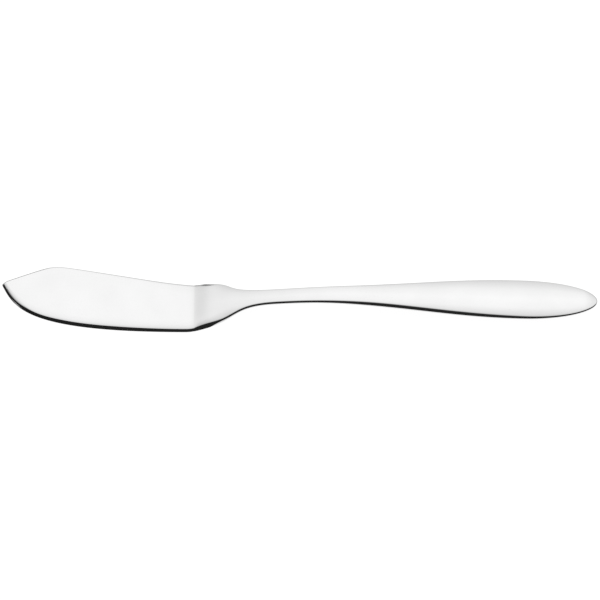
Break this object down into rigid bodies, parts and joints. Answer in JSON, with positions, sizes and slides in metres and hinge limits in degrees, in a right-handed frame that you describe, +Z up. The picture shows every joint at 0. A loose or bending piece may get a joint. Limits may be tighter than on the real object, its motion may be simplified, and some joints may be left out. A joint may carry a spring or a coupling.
{
  "type": "fish knife",
  "caption": "Polished steel fish knife: broad pointed blade with a blunt ground belly, cranked shoulder, slim neck and leaf-shaped crowned handle, for lifting and parting cooked fish.",
  "frame": {"origin": "centre of the bounding box in plan, on the table under the knife", "axes": "+X from the blade's point to the end of the handle, +Y from the belly to the spine of the blade, +Z up from the table"},
  "size_m": [0.205, 0.0248, 0.0077],
  "materials": {
    "blade_steel": "mirror polished stainless steel, ground edge fine satin",
    "handle_steel": "mirror polished stainless steel",
    "braze_alloy": "silver braze, polished flush with the steel"
  },
  "bodies": {
    "root": {"blade": "blade_steel", "handle": "handle_steel", "braze_seam": "braze_alloy"}
  },
  "joints": []
}
